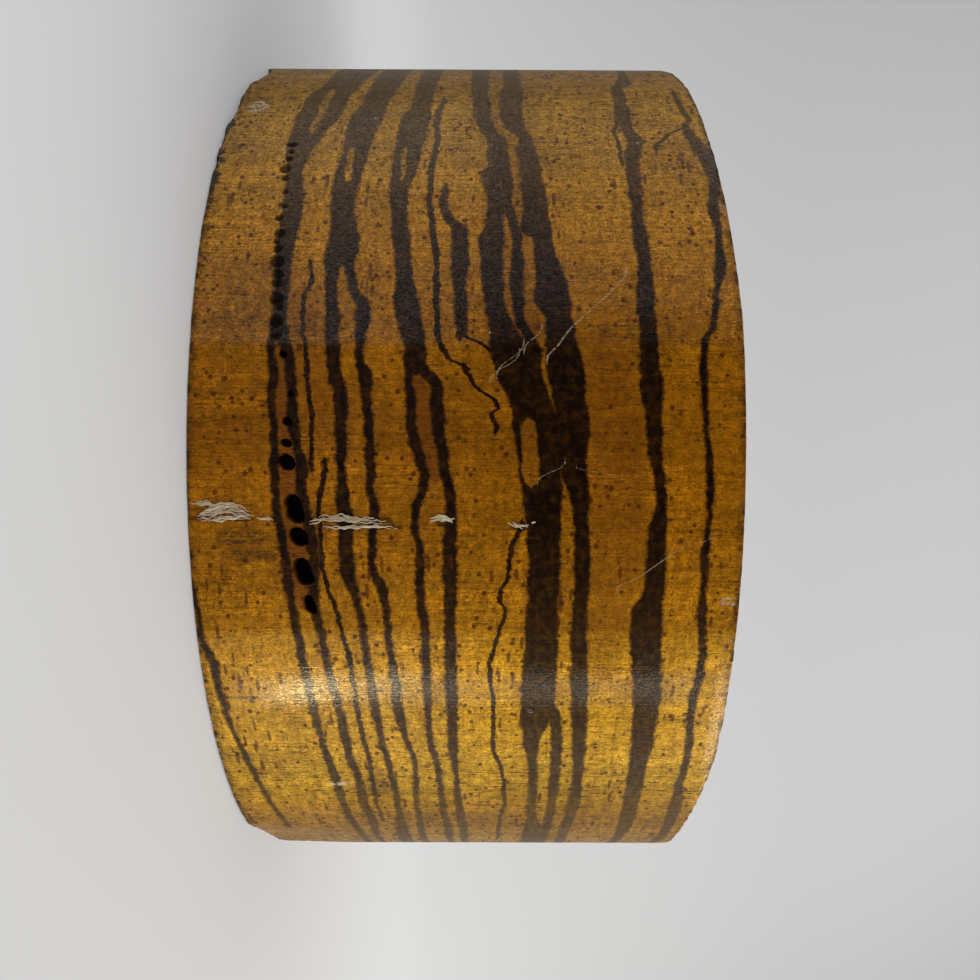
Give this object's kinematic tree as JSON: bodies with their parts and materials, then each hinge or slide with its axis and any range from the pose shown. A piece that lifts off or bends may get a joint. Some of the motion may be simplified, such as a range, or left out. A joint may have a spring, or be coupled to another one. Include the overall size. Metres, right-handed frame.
{
  "type": "wood turning blank",
  "caption": "Round disc of streaked hardwood stock with a band-sawn rim and two flat sawn faces, ready to mount on a lathe and turn into a bowl.",
  "frame": {"origin": "middle of the lower flat face, on the floor", "axes": "+Z along the disc's axis; -Y the side of the rim that the picture shows, front to back being the way of the grain; -X the side where the upper face falls away"},
  "size_m": [0.102, 0.102, 0.049],
  "materials": {
    "wood": "sawn end grain sealed with a thin coat of wax, half gloss"
  },
  "bodies": {
    "root": {"turning_blank": "wood"}
  },
  "joints": []
}
